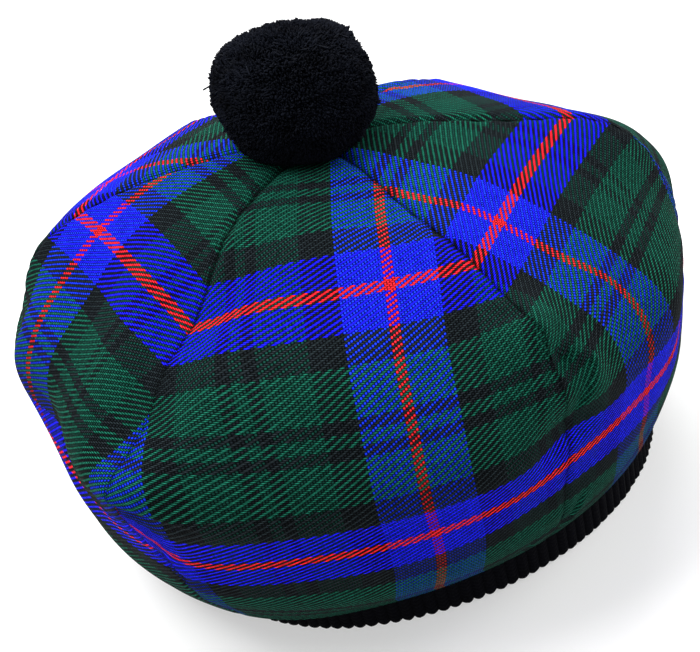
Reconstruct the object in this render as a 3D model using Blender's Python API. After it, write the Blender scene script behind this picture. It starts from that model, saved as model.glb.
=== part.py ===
# A tam o' shanter at its real size: six tartan gores, a yarn pompom and a knitted, ribbed band.
# Metres, +Z up, the front of the hat towards -Y. The hat stands on the lower edge of its band,
# with the origin under the middle of its outline.
# Azimuths are degrees anticlockwise from +X, seen from above, so the front is at -90.
# An arc is the length of cloth from the apex down the middle of a gore.

import math
import random
from collections import namedtuple

import bmesh
import bpy
import numpy as np

MM = 0.001

# Clearance between pieces, and the thickness of the woven wool.
GAP = 0.3 * MM
CLOTH = 1.8 * MM

# The knitted band: a ring that widens a little upwards, with its top tucked inside the crown.
BAND_RADIUS = 92 * MM
BAND_SHOWS = 10.4 * MM
BAND_TOP_RADIUS = 94 * MM
BAND_TUCK = 9 * MM
BAND_WALL = 3.4 * MM
RIB_COUNT = 144
RIB_DEPTH = 1.2 * MM

# The crown's cloth, from the apex to the edge that is sewn over the band.
GORE_COUNT = 6
GORE_HALF_ANGLE = 30.0
CROWN_ARC = 212.5 * MM
APEX_OPENING = 4 * MM

# Slope of the cloth below the horizontal at arcs down the middle of a gore.
Slope = namedtuple("Slope", "arc degrees")
SLOPES = [
    Slope(0 * MM, 8),
    Slope(23 * MM, 7),
    Slope(46 * MM, 14),
    Slope(69 * MM, 23),
    Slope(88 * MM, 31.5),
    Slope(106 * MM, 45),
    Slope(125 * MM, 54.5),
    Slope(145 * MM, 103.5),
    Slope(164 * MM, 101),
    Slope(183 * MM, 99.5),
    Slope(203 * MM, 119),
]

# The gores lie flat across near the apex and turn round towards the band.
ROUND_ARC = 126 * MM
ROUND_SPREAD = 24 * MM

# Where the soft crown sits off the band, and how it sags out of round.
LEAN_X = 6.6 * MM
LEAN_Y = -23.4 * MM
TILT_X = -4.3
OVAL = 8.6 * MM
OVAL_AZIMUTH = 74.5
SADDLE = 6.2 * MM
SEAM_STAND = 2.8 * MM
RIM_RADIUS = 106 * MM

# The crown's lower edge rides up the band on one side and hangs lower on the other.
HEM_LIFT = 3.4 * MM
HEM_LIFT_AZIMUTH = -32.0
HEM_LIFT_ARC = 165 * MM

# Where it hangs lower still, and where the band is pressed in beneath it.
HANG = 2.6 * MM
HANG_AZIMUTH = -113.0
HANG_SPREAD = 17.0
PRESS = 5 * MM
PRESS_AZIMUTH = -133.0
PRESS_SPREAD = 20.0

# How far each seam is turned from its even place.
Seam = namedtuple("Seam", "azimuth turn")
SEAMS = [
    Seam(-180, 4.3),
    Seam(-120, -3.7),
    Seam(-60, 0.6),
    Seam(0, -0.9),
    Seam(60, 0.0),
    Seam(120, 0.0),
    Seam(180, 4.3),
]

# Puffs and dents of the cloth: place, half-widths across and along the gore, and rise outwards.
Puff = namedtuple("Puff", "azimuth arc across along rise")
PUFFS = [
    Puff(-90, 0 * MM, 16 * MM, 16 * MM, -3.5 * MM),
    Puff(-120, 71 * MM, 14 * MM, 19 * MM, -10 * MM),
    Puff(-120, 104 * MM, 12 * MM, 18 * MM, -9.5 * MM),
    Puff(-122, 129 * MM, 16 * MM, 8 * MM, 4 * MM),
    Puff(-118, 142 * MM, 16 * MM, 7 * MM, -1 * MM),
    Puff(-120, 186 * MM, 16 * MM, 14 * MM, 1.5 * MM),
    Puff(-60, 44 * MM, 14 * MM, 18 * MM, -4 * MM),
    Puff(-60, 105 * MM, 11 * MM, 11 * MM, 5.5 * MM),
    Puff(-58, 112 * MM, 6 * MM, 6 * MM, -4 * MM),
    Puff(-54, 126 * MM, 6 * MM, 12 * MM, 3 * MM),
    Puff(-60, 138 * MM, 12 * MM, 14 * MM, -7.5 * MM),
    Puff(-60, 168 * MM, 18 * MM, 16 * MM, -2.5 * MM),
    Puff(-90, 48 * MM, 22 * MM, 18 * MM, 2.5 * MM),
    Puff(-90, 72 * MM, 22 * MM, 14 * MM, 1 * MM),
    Puff(-90, 97 * MM, 26 * MM, 19 * MM, 5.5 * MM),
    Puff(-90, 168 * MM, 31 * MM, 16 * MM, 1.5 * MM),
    Puff(-90, 190 * MM, 28 * MM, 12 * MM, 2.5 * MM),
    Puff(-45, 85 * MM, 14 * MM, 20 * MM, -1 * MM),
    Puff(-30, 137 * MM, 26 * MM, 22 * MM, 7.5 * MM),
    Puff(-30, 168 * MM, 31 * MM, 16 * MM, 3 * MM),
    Puff(-30, 190 * MM, 28 * MM, 12 * MM, -1.5 * MM),
    Puff(-12, 60 * MM, 18 * MM, 22 * MM, -1.5 * MM),
    Puff(0, 84 * MM, 16 * MM, 21 * MM, 4 * MM),
    Puff(0, 132 * MM, 18 * MM, 22 * MM, -6 * MM),
    Puff(15, 112 * MM, 16 * MM, 20 * MM, 3.5 * MM),
    Puff(30, 100 * MM, 28 * MM, 24 * MM, -3 * MM),
    Puff(30, 140 * MM, 28 * MM, 22 * MM, 1 * MM),
    Puff(60, 97 * MM, 35 * MM, 22 * MM, -10 * MM),
    Puff(90, 80 * MM, 50 * MM, 30 * MM, -3 * MM),
    Puff(180, 123 * MM, 18 * MM, 22 * MM, -7 * MM),
    Puff(-150, 97 * MM, 26 * MM, 19 * MM, -4.5 * MM),
    Puff(-150, 141 * MM, 26 * MM, 22 * MM, -7 * MM),
    Puff(-150, 163 * MM, 22 * MM, 16 * MM, 3 * MM),
]

# The yarn ball and its locks.
POMPOM_WIDTH = 53 * MM
POMPOM_HEIGHT = 46.5 * MM
POMPOM_RISE = 16.4 * MM
POMPOM_SHIFT_X = -1.9 * MM

# Where the yarn ball bulges or lies flatter: place on the ball, angular half-width and rise.
Lump = namedtuple("Lump", "azimuth elevation spread rise")
LUMPS = [
    Lump(160, 36, 28, 2.2 * MM),
    Lump(-167, -12, 26, -1.4 * MM),
    Lump(74, 60, 26, -1.5 * MM),
    Lump(8, 8, 28, -1.4 * MM),
    Lump(32, 42, 24, 0.7 * MM),
    Lump(-110, -55, 40, -0.6 * MM),
]
LOCK_RELIEF = 3.5 * MM
LOCK_SEED = 7

# Mesh steps: columns across a gore, and rows down it.
GORE_COLUMNS = 12
GORE_ROWS = 26


def crown_section():
    """Arc, radius and drop down the middle of a gore, before the crown leans and sags."""
    arcs = np.linspace(0.0, CROWN_ARC, 445)
    slopes = np.radians(np.interp(arcs, [row.arc for row in SLOPES], [row.degrees for row in SLOPES]))
    step = arcs[1] - arcs[0]
    outward = (np.cos(slopes[1:]) + np.cos(slopes[:-1])) / 2 * step
    downward = (np.sin(slopes[1:]) + np.sin(slopes[:-1])) / 2 * step
    radii = np.concatenate([[0.0], np.cumsum(outward)])
    drops = np.concatenate([[0.0], np.cumsum(downward)])
    return arcs, slopes, radii, drops


ARCS, ARC_SLOPES, ARC_RADII, ARC_DROPS = crown_section()
CROWN_HEIGHT = ARC_DROPS[-1]


def wrapped(azimuth):
    """The same azimuth between -180 and 180."""
    return (azimuth + 180) % 360 - 180


def puff_rise(azimuth, arc, radius):
    """Height of all puffs and dents at a place, outwards from the cloth."""
    rise = np.zeros(np.broadcast(azimuth, arc).shape)
    for puff in PUFFS:
        across = np.radians(wrapped(azimuth - puff.azimuth)) * radius / puff.across
        along = (arc - puff.arc) / puff.along
        rise = rise + puff.rise * np.exp(-across**2 - along**2)
    return rise


def crown_points(azimuth, arc):
    """Places on the outside of the crown, with the band's top edge at height BAND_SHOWS."""
    azimuth = np.asarray(azimuth, float)
    arc = np.asarray(arc, float)
    radius = np.interp(arc, ARCS, ARC_RADII)
    height = CROWN_HEIGHT - np.interp(arc, ARCS, ARC_DROPS)
    slope = np.interp(arc, ARCS, ARC_SLOPES)
    flatness = 1 / (1 + np.exp((arc - ROUND_ARC) / ROUND_SPREAD))

    # Straight across each gore near the apex, round near the band, standing out at the seams.
    gore_turn = np.radians((azimuth + 90 + GORE_HALF_ANGLE) % 60 - GORE_HALF_ANGLE)
    level = height / CROWN_HEIGHT
    fullness = np.clip(2 * level, 0, 1) * np.clip(radius / RIM_RADIUS, 0, 1)
    by_seam = (1 - np.cos(6 * np.radians(azimuth + 90))) / 2
    reach = radius * (1 + flatness * (1 / np.cos(gore_turn) - 1))
    reach = reach + (1 - flatness) * fullness * SEAM_STAND * by_seam

    turns = np.interp(azimuth, [seam.azimuth for seam in SEAMS], [seam.turn for seam in SEAMS])
    turned = np.radians(azimuth + turns)
    oval = 1 + fullness * OVAL * np.cos(2 * (turned - np.radians(OVAL_AZIMUTH))) / RIM_RADIUS
    rise = puff_rise(azimuth, arc, radius)
    outward = reach * oval + rise * np.sin(slope)
    x = outward * np.cos(turned)
    y = outward * np.sin(turned)
    z = height + fullness * SADDLE * np.cos(2 * turned) + rise * np.cos(slope)
    z = z + np.clip(1.5 * level, 0, 1) * math.tan(math.radians(TILT_X)) * x

    slack = np.clip((arc - HEM_LIFT_ARC) / (CROWN_ARC - HEM_LIFT_ARC), 0, 1)
    z = z + HEM_LIFT * slack**2 * np.cos(turned - math.radians(HEM_LIFT_AZIMUTH))
    z = z - HANG * slack**2 * np.exp(-(wrapped(azimuth + turns - HANG_AZIMUTH) / HANG_SPREAD) ** 2)

    # The whole crown leans further off the band the higher it is.
    lean = level * (3 - level) / 2
    return np.stack([x + LEAN_X * lean, y + LEAN_Y * lean, z + BAND_SHOWS], axis=-1)


def crown_normals(azimuth, arc):
    """Outward directions, taken across the seams so that neighbouring gores share them."""
    turn_step = 1.0
    arc_step = 1 * MM
    low_arc = np.clip(arc - arc_step, 0, CROWN_ARC)
    high_arc = np.clip(arc + arc_step, 0, CROWN_ARC)
    down = crown_points(azimuth, high_arc) - crown_points(azimuth, low_arc)
    after = crown_points(wrapped(azimuth + turn_step), arc)
    before = crown_points(wrapped(azimuth - turn_step), arc)
    normals = np.cross(down, after - before)
    return normals / np.linalg.norm(normals, axis=-1, keepdims=True)


def centred_offset():
    """The shift that puts the middle of the crown's outline over the origin."""
    azimuth, arc = np.meshgrid(np.arange(-180.0, 180.0, 2.0), np.linspace(0, CROWN_ARC, 60))
    points = crown_points(azimuth, arc).reshape(-1, 3)
    middle = (points.min(axis=0) + points.max(axis=0)) / 2
    return np.array([-middle[0], -middle[1], 0.0])


PLACE = centred_offset()


def material(name, colour, roughness):
    """A plain matte finish for one kind of yarn or cloth."""
    made = bpy.data.materials.new(name)
    made.use_nodes = True
    shader = made.node_tree.nodes["Principled BSDF"]
    shader.inputs["Base Color"].default_value = (*colour, 1.0)
    shader.inputs["Roughness"].default_value = roughness
    shader.inputs["Metallic"].default_value = 0.0
    return made


def solid(name, points, faces, finish):
    """One closed body from its corners and faces."""
    mesh = bpy.data.meshes.new(name)
    mesh.from_pydata([tuple(point) for point in points], [], faces)
    mesh.materials.append(finish)
    shape = bmesh.new()
    shape.from_mesh(mesh)
    bmesh.ops.recalc_face_normals(shape, faces=shape.faces)
    shape.to_mesh(mesh)
    shape.free()
    mesh.shade_smooth()
    mesh.set_sharp_from_angle(angle=math.radians(40))
    body = bpy.data.objects.new(name, mesh)
    bpy.context.scene.collection.objects.link(body)
    return body


def sheet_solid(name, outer, inner, finish):
    """A closed wall between an outer and an inner grid of places, row by row."""
    rows, columns = outer.shape[:2]
    count = rows * columns
    index = np.arange(count).reshape(rows, columns)
    faces = []
    for row in range(rows - 1):
        for column in range(columns - 1):
            above = index[row, column:column + 2]
            below = index[row + 1, column:column + 2]
            quad = [above[0], above[1], below[1], below[0]]
            faces.append([int(corner) for corner in quad])
            faces.append([int(corner) + count for corner in reversed(quad)])
    rim = list(index[0]) + list(index[1:, -1]) + list(index[-1, -2::-1]) + list(index[-2:0:-1, 0])
    for start, end in zip(rim, rim[1:] + rim[:1]):
        faces.append([int(start), int(start) + count, int(end) + count, int(end)])
    points = np.concatenate([outer.reshape(-1, 3), inner.reshape(-1, 3)])
    return solid(name, points, faces, finish)


def ring_solid(name, sections, finish):
    """A closed ring from equal sections, one after another round the axis."""
    turns, corners = sections.shape[:2]
    faces = []
    for turn in range(turns):
        for corner in range(corners):
            after = (turn + 1) % turns
            other = (corner + 1) % corners
            faces.append([
                turn * corners + corner,
                turn * corners + other,
                after * corners + other,
                after * corners + corner,
            ])
    return solid(name, sections.reshape(-1, 3), faces, finish)


def gore(number, finish):
    """One panel of the crown, from the apex over the rim and in to the band."""
    middle = -90 + 60 * (number - 1)
    spread = np.linspace(0, 1, GORE_ROWS)
    arcs = APEX_OPENING + (CROWN_ARC - APEX_OPENING) * spread
    radii = np.interp(arcs, ARCS, ARC_RADII)
    half_angles = GORE_HALF_ANGLE - np.degrees(GAP / 2 / (radii * math.cos(math.radians(30))))
    across = np.linspace(-1, 1, GORE_COLUMNS + 1)
    azimuth = wrapped(middle + half_angles[:, None] * across[None, :])
    arc = np.repeat(arcs[:, None], GORE_COLUMNS + 1, axis=1)
    outer = crown_points(azimuth, arc) + PLACE
    inner = outer - CLOTH * crown_normals(azimuth, arc)
    return sheet_solid("gore_%d" % number, outer, inner, finish)


def band_press(azimuth):
    """How far the band is pressed in at an azimuth."""
    return PRESS * np.exp(-(wrapped(azimuth - PRESS_AZIMUTH) / PRESS_SPREAD) ** 2)


def rib_band(finish):
    """The knitted band: ribs outside, plain inside, flat below and tucked into the crown above."""
    top = BAND_SHOWS + BAND_TUCK
    sections = []
    for step in range(2 * RIB_COUNT):
        turn = math.pi * step / RIB_COUNT
        press = band_press(math.degrees(turn))
        low = BAND_RADIUS - press
        high = BAND_TOP_RADIUS - press
        groove = RIB_DEPTH * (step % 2)
        section = [
            (low - groove, 0.0),
            (high - groove, top),
            (high - BAND_WALL, top),
            (low - BAND_WALL, 0.0),
        ]
        sections.append([(r * math.cos(turn), r * math.sin(turn), z) for r, z in section])
    return ring_solid("rib_band", np.array(sections) + PLACE, finish)


def lump_rise(directions):
    """How far the yarn ball stands out of round in each direction."""
    rise = np.zeros(len(directions))
    for lump in LUMPS:
        turn = math.radians(lump.azimuth)
        lift = math.radians(lump.elevation)
        centre = [math.cos(lift) * math.cos(turn), math.cos(lift) * math.sin(turn), math.sin(lift)]
        apart = np.degrees(np.arccos(np.clip(directions @ np.array(centre), -1, 1)))
        rise = rise + lump.rise * np.exp(-(apart / lump.spread) ** 2)
    return rise


def pompom(finish):
    """The yarn ball: a core whose surface stands out in pointed locks, seated in the crown's dimple."""
    draw = random.Random(LOCK_SEED)
    middle = crown_points(np.array(-90.0), np.array(0.0)) + PLACE
    middle = middle + np.array([POMPOM_SHIFT_X, 0.0, POMPOM_RISE])
    radii = np.array([POMPOM_WIDTH / 2, POMPOM_WIDTH / 2, POMPOM_HEIGHT / 2])
    shape = bmesh.new()
    bmesh.ops.create_icosphere(shape, subdivisions=4, radius=1.0)
    directions = np.array([vert.co[:] for vert in shape.verts])
    faces = [[vert.index for vert in face.verts] for face in shape.faces]
    shape.free()

    # The first quarter of the corners are those of the ball before its last division: the lock tips.
    tips = len(directions) // 4 + 2
    points = []
    for number, (direction, rise) in enumerate(zip(directions, lump_rise(directions))):
        depth = draw.uniform(0.0, 0.5) if number < tips else draw.uniform(0.6, 1.0)
        points.append(middle + direction * (radii + rise - LOCK_RELIEF * depth))
    points = np.array(points)
    points[:, 2] = np.maximum(points[:, 2], crown_top(points[:, :2]) + GAP)
    return solid("pompom", points, faces, finish)


def crown_top(places):
    """Height of the crown's cloth near the apex above the given places."""
    azimuth, arc = np.meshgrid(np.arange(-180.0, 180.0, 6.0), np.linspace(0, 45 * MM, 46))
    points = crown_points(azimuth, arc).reshape(-1, 3) + PLACE
    apart = ((places[:, None, :] - points[None, :, :2]) ** 2).sum(axis=-1)
    return points[apart.argmin(axis=1), 2]


def main():
    for old in list(bpy.data.objects):
        bpy.data.objects.remove(old)
    tartan = material("tartan", (0.02, 0.05, 0.16), 0.85)
    yarn = material("pompom_yarn", (0.004, 0.005, 0.010), 0.95)
    knit = material("band_knit", (0.008, 0.008, 0.014), 0.9)
    for number in range(1, GORE_COUNT + 1):
        gore(number, tartan)
    rib_band(knit)
    pompom(yarn)


main()
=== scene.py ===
import math
from collections import namedtuple

import bpy
import numpy as np
from mathutils import Matrix, Vector


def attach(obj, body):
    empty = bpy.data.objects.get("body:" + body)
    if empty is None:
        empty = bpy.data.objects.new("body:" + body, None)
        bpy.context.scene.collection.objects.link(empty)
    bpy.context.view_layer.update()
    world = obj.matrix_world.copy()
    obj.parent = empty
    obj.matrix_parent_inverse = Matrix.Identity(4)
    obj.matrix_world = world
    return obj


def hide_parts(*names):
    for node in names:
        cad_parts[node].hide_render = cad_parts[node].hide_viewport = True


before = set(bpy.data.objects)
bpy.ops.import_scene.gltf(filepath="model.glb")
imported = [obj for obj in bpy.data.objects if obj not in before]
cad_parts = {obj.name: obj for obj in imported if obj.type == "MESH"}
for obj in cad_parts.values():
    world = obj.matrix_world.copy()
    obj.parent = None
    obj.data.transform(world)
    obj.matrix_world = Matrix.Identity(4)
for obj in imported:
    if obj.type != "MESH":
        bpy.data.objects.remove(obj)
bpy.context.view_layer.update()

MM = 0.001

# The shape of the crown, as the solids have it.
CLOTH = 1.8 * MM
BAND_RADIUS = 92 * MM
BAND_SHOWS = 10.4 * MM
BAND_TOP_RADIUS = 94 * MM
BAND_TUCK = 9 * MM
BAND_WALL = 3.4 * MM
RIB_COUNT = 144
FRONT = -90.0
GORE_COUNT = 6
GORE_ANGLE = 360.0 / GORE_COUNT
GORE_HALF_ANGLE = GORE_ANGLE / 2
CROWN_ARC = 212.5 * MM
APEX_OPENING = 1.5 * MM

# How steeply the cloth falls, in degrees from level, at each arc from the apex. The section
# follows from it, added up in small steps.
SECTION_STEPS = 444
Slope = namedtuple("Slope", "arc degrees")
SLOPES = [
    Slope(0 * MM, 8),
    Slope(23 * MM, 7),
    Slope(46 * MM, 14),
    Slope(69 * MM, 23),
    Slope(88 * MM, 31.5),
    Slope(106 * MM, 45),
    Slope(125 * MM, 54.5),
    Slope(145 * MM, 103.5),
    Slope(164 * MM, 101),
    Slope(183 * MM, 99.5),
    Slope(203 * MM, 119),
]

# The crown turns from six-sided to round about ROUND_ARC. It leans forward and to the right off
# the band, tilts down to the right, and is oval in plan, bent like a saddle and a little fuller at
# the seams.
ROUND_ARC = 126 * MM
ROUND_SPREAD = 24 * MM
LEAN_X = 6.6 * MM
LEAN_Y = -23.4 * MM
TILT_X = -4.3
OVAL = 8.6 * MM
OVAL_AZIMUTH = 74.5
SADDLE = 6.2 * MM
SEAM_STAND = 2.8 * MM
RIM_RADIUS = 106 * MM

# The crown's lower edge rides up the band on one side and hangs lower on the other.
HEM_LIFT = 3.4 * MM
HEM_LIFT_AZIMUTH = -32.0
HEM_LIFT_ARC = 165 * MM

# Where it hangs lower still, and where the band is pressed in beneath it.
HANG = 2.6 * MM
HANG_AZIMUTH = -113.0
HANG_SPREAD = 17.0
PRESS = 5 * MM
PRESS_AZIMUTH = -133.0
PRESS_SPREAD = 20.0

# How many degrees each seam is pulled round from its even place.
Seam = namedtuple("Seam", "azimuth turn")
SEAMS = [
    Seam(-180, 4.3),
    Seam(-120, -3.7),
    Seam(-60, 0.6),
    Seam(0, -0.9),
    Seam(60, 0.0),
    Seam(120, 0.0),
    Seam(180, 4.3),
]

# Puffs and dents of the slack cloth: the middle, the size across and along, and the rise.
Puff = namedtuple("Puff", "azimuth arc across along rise")
PUFFS = [
    Puff(-90, 0 * MM, 16 * MM, 16 * MM, -3.5 * MM),
    Puff(-120, 71 * MM, 14 * MM, 19 * MM, -10 * MM),
    Puff(-120, 104 * MM, 12 * MM, 18 * MM, -9.5 * MM),
    Puff(-122, 129 * MM, 16 * MM, 8 * MM, 4 * MM),
    Puff(-118, 142 * MM, 16 * MM, 7 * MM, -1 * MM),
    Puff(-120, 186 * MM, 16 * MM, 14 * MM, 1.5 * MM),
    Puff(-60, 44 * MM, 14 * MM, 18 * MM, -4 * MM),
    Puff(-60, 105 * MM, 11 * MM, 11 * MM, 5.5 * MM),
    Puff(-58, 112 * MM, 6 * MM, 6 * MM, -4 * MM),
    Puff(-54, 126 * MM, 6 * MM, 12 * MM, 3 * MM),
    Puff(-60, 138 * MM, 12 * MM, 14 * MM, -7.5 * MM),
    Puff(-60, 168 * MM, 18 * MM, 16 * MM, -2.5 * MM),
    Puff(-90, 48 * MM, 22 * MM, 18 * MM, 2.5 * MM),
    Puff(-90, 72 * MM, 22 * MM, 14 * MM, 1 * MM),
    Puff(-90, 97 * MM, 26 * MM, 19 * MM, 5.5 * MM),
    Puff(-90, 168 * MM, 31 * MM, 16 * MM, 1.5 * MM),
    Puff(-90, 190 * MM, 28 * MM, 12 * MM, 2.5 * MM),
    Puff(-45, 85 * MM, 14 * MM, 20 * MM, -1 * MM),
    Puff(-30, 137 * MM, 26 * MM, 22 * MM, 7.5 * MM),
    Puff(-30, 168 * MM, 31 * MM, 16 * MM, 3 * MM),
    Puff(-30, 190 * MM, 28 * MM, 12 * MM, -1.5 * MM),
    Puff(-12, 60 * MM, 18 * MM, 22 * MM, -1.5 * MM),
    Puff(0, 84 * MM, 16 * MM, 21 * MM, 4 * MM),
    Puff(0, 132 * MM, 18 * MM, 22 * MM, -6 * MM),
    Puff(15, 112 * MM, 16 * MM, 20 * MM, 3.5 * MM),
    Puff(30, 100 * MM, 28 * MM, 24 * MM, -3 * MM),
    Puff(30, 140 * MM, 28 * MM, 22 * MM, 1 * MM),
    Puff(60, 97 * MM, 35 * MM, 22 * MM, -10 * MM),
    Puff(90, 80 * MM, 50 * MM, 30 * MM, -3 * MM),
    Puff(180, 123 * MM, 18 * MM, 22 * MM, -7 * MM),
    Puff(-150, 97 * MM, 26 * MM, 19 * MM, -4.5 * MM),
    Puff(-150, 141 * MM, 26 * MM, 22 * MM, -7 * MM),
    Puff(-150, 163 * MM, 22 * MM, 16 * MM, 3 * MM),
]

# Finer relief of the sewn cloth. The seam is a valley, deepest from the apex to CREASE_ARC, with
# puckers on both sides. Slow waves of loose wool cross each other in three lengths.
SEAM_DEPTH = 1.5 * MM
SEAM_HALF_WIDTH = 1.6 * MM
SEAM_LOW_SHARE = 0.4
SEAM_HEM_SHARE = 0.3
SEAM_HEM_FADE = 4 * MM
CREASE_ARC = 78 * MM
CREASE_FADE = 8 * MM
PUCKER = 0.22 * MM
PUCKER_LENGTH = 9 * MM
PUCKER_DRIFT = 23 * MM
PUCKER_REACH = 8 * MM
PUCKER_APEX_FADE = 30 * MM
PUCKER_BY_SEAM = 1.7
PUCKER_BY_SIDE = 0.9
PUCKER_WANDER = 1.3
WAVE = 0.22 * MM
WAVE_LONG = 19 * MM
WAVE_MIDDLE = 13 * MM
WAVE_SHORT = 9 * MM
WAVE_SHORT_SHARE = 0.6
RELIEF_HEM_FADE = 20 * MM
RELIEF_APEX_FADE = 40 * MM
GORE_GAP = 0.05 * MM

# Folds: a lip of cloth along a line, which drops away on one side of it. The turn is in degrees
# from level towards the hem, going anticlockwise round the crown.
FOLD_EDGE = 1.1 * MM
Fold = namedtuple("Fold", "azimuth arc turn length width rise")
FOLDS = [
    Fold(-117, 135 * MM, 23, 12 * MM, 5 * MM, 1.8 * MM),
    Fold(-55, 127 * MM, 120, 10 * MM, 4 * MM, 1.8 * MM),
    Fold(-60.5, 105 * MM, 90, 14 * MM, 6 * MM, 1.9 * MM),
    Fold(-57, 113.5 * MM, 58, 10 * MM, 6 * MM, 1.8 * MM),
    Fold(-57, 191 * MM, 110, 7 * MM, 3 * MM, 1.3 * MM),
    Fold(-66, 201 * MM, 100, 5 * MM, 2.5 * MM, 1.1 * MM),
]

# Where the sewing pulls the threads out of line: how far round the crown and how far down.
Pull = namedtuple("Pull", "gore azimuth arc across along sideways down")
PULLS = [
    Pull(1, -118, 112 * MM, 26 * MM, 45 * MM, -11 * MM, 0 * MM),
    Pull(1, -120, 74 * MM, 22 * MM, 22 * MM, 0 * MM, -1.7 * MM),
    Pull(6, -120, 74 * MM, 22 * MM, 22 * MM, 0 * MM, -1.7 * MM),
    Pull(1, -114, 165 * MM, 23 * MM, 25 * MM, -5 * MM, 7 * MM),
    Pull(1, -120, 150 * MM, 5 * MM, 13 * MM, 0 * MM, -20 * MM),
    Pull(1, -80, 205 * MM, 40 * MM, 20 * MM, -4 * MM, 0 * MM),
    Pull(2, -41, 117 * MM, 14 * MM, 14 * MM, 6 * MM, 0 * MM),
    Pull(2, -28, 215 * MM, 40 * MM, 35 * MM, 16 * MM, 0 * MM),
]

# Mesh steps of one gore: columns across, rows down, and rows round the rolled hem. Columns crowd
# towards the seams, where the cloth dips. How deep the inner face lies and how long the rolled
# hem is are counted in thicknesses of the cloth.
GORE_COLUMNS = 96
GORE_ROWS = 200
HEM_ROWS = 5
SEAM_CROWDING = 0.4
INNER_SINK = 1.25
HEM_ROLL = 1.5

# The weave. A sett is as long down the cloth as across it, and widths are shares of a thread's
# pitch. The weft's floats are longer by the bias, and the warp stands lower towards the hem, from
# one distance to the other, in millimetres from the hem.
SETT = 83.5 * MM
WARP_HALF_WIDTH = 0.44
WEFT_HALF_WIDTH = 0.42
WEFT_BIAS = 0.3
WARP_STAND = 0.9
WARP_STAND_LOW = 0.44
WARP_LOW_FROM_HEM = 58
WARP_FULL_FROM_HEM = 108
WEAVE_RELIEF = 0.2 * MM
FLECK_RELIEF = 0.4

# The painted shade in the crease along a seam: its inner and outer edge in millimetres, and its
# brightness near the apex and below, with the arcs between which it fades, in millimetres from
# CREASE_ARC.
CREASE_EDGE = 0.2
CREASE_WIDTH = 1.3
CREASE_DARK = 0.25
CREASE_FAINT = 0.6
CREASE_FADE_BELOW = 12
CREASE_FADE_ABOVE = 8

# Uneven yarn: brightness at the start, then shares for each thread, for flecks along it, for
# clouds over the cloth and for each bead. Then painted shade between the threads: how dark it
# grows towards a thread's sides, where the threads dive.
TONE_START = 0.15
TONE_THREAD = 0.07
TONE_FLECK = 0.7
TONE_CLOUD = 0.16
TONE_BEAD = 0.7
PAINTED_GAP_SHADE = 0.04
PAINTED_SHADE_GAIN = 1.75
PAINTED_SHADE_POWER = 1.8
FLECK_SCALE = 2600.0
CLOUD_SCALE = 60.0

# The tartan, from the middle of the red line to the middle of the thin green line, then mirrored.
# Its lines are placed by the arc of the red line and by its distance from a gore's middle.
STRIPE_ARC = 74.4 * MM
STRIPE_OFFSET = 19.1 * MM
# The warp colours are darker copies of the weft's: painted shade on the warp, lower in the weave.
SHADED_WARP_RED = (0.88, 0.022, 0.034)
SHADED_WARP_BLUE = (0.010, 0.039, 0.81)
SHADED_WARP_BLACK = (0.008, 0.011, 0.014)
SHADED_WARP_GREEN = (0.006, 0.044, 0.033)
WEFT_RED = (0.95, 0.018, 0.030)
WEFT_BLUE = (0.011, 0.010, 0.92)
WEFT_BLACK = (0.013, 0.019, 0.022)
WEFT_GREEN = (0.008, 0.098, 0.062)
Stripe = namedtuple("Stripe", "warps wefts warp_colour weft_colour")
STRIPES = [
    Stripe(2, 4, SHADED_WARP_RED, WEFT_RED),
    Stripe(16, 24, SHADED_WARP_BLUE, WEFT_BLUE),
    Stripe(12, 19, SHADED_WARP_BLACK, WEFT_BLACK),
    Stripe(16, 28, SHADED_WARP_GREEN, WEFT_GREEN),
    Stripe(4, 7, SHADED_WARP_BLACK, WEFT_BLACK),
    Stripe(2, 4, SHADED_WARP_GREEN, WEFT_GREEN),
]
WARP_THREADS = 2 * sum(stripe.warps for stripe in STRIPES)
WEFT_THREADS = 2 * sum(stripe.wefts for stripe in STRIPES)

# The knitted band: the columns of one rib, the rows of each face, how deep and uneven the ribs
# are, the rounded lower edge, and the stitches.
RIB_COLUMNS = 14
BAND_ROWS = 16
RIB_OUTER = 0.85 * MM
RIB_INNER = 0.6 * MM
RIB_UNEVEN = 0.12 * MM
RIB_ROUNDNESS = 0.7
BAND_EDGE = 0.9 * MM
BAND_EDGE_SHARE = 0.35
BAND_SCALLOP = 0.7 * MM
STITCH = 1.5 * MM
STITCH_LEAN = 0.9
STITCH_RELIEF = 0.2
STITCH_TONE = 0.06
KNIT_RELIEF = 0.3 * MM
KNIT_COLOUR = (0.0024, 0.0025, 0.0042)
KNIT_TONE = 0.8
KNIT_FIBRE_START = 0.55
KNIT_FIBRE_GAIN = 0.9
KNIT_FIBRE_SCALE = 2200.0

# The yarn ball, seated in the dimple at the apex.
# The glint colour is a painted highlight on scattered fibre ends.
YARN_DARK = (0.0004, 0.0005, 0.0009)
YARN_PAINTED_GLINT = (0.006, 0.0075, 0.013)
YARN_DARK_UP_TO = 0.55
YARN_PATCH = 0.6
YARN_FIBRE_SCALE = 1500.0
YARN_PATCH_SCALE = 110.0
POMPOM_WIDTH = 53 * MM
POMPOM_HEIGHT = 46.5 * MM
POMPOM_RISE = 16.4 * MM
POMPOM_SHIFT_X = -1.9 * MM

# Where the yarn ball bulges or lies flatter: place on the ball, angular half-width and rise.
Lump = namedtuple("Lump", "azimuth elevation spread rise")
LUMPS = [
    Lump(160, 36, 28, 2.2 * MM),
    Lump(-167, -12, 26, -1.4 * MM),
    Lump(74, 60, 26, -1.5 * MM),
    Lump(8, 8, 28, -1.4 * MM),
    Lump(32, 42, 24, 0.7 * MM),
    Lump(-110, -55, 40, -0.6 * MM),
]

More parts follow.
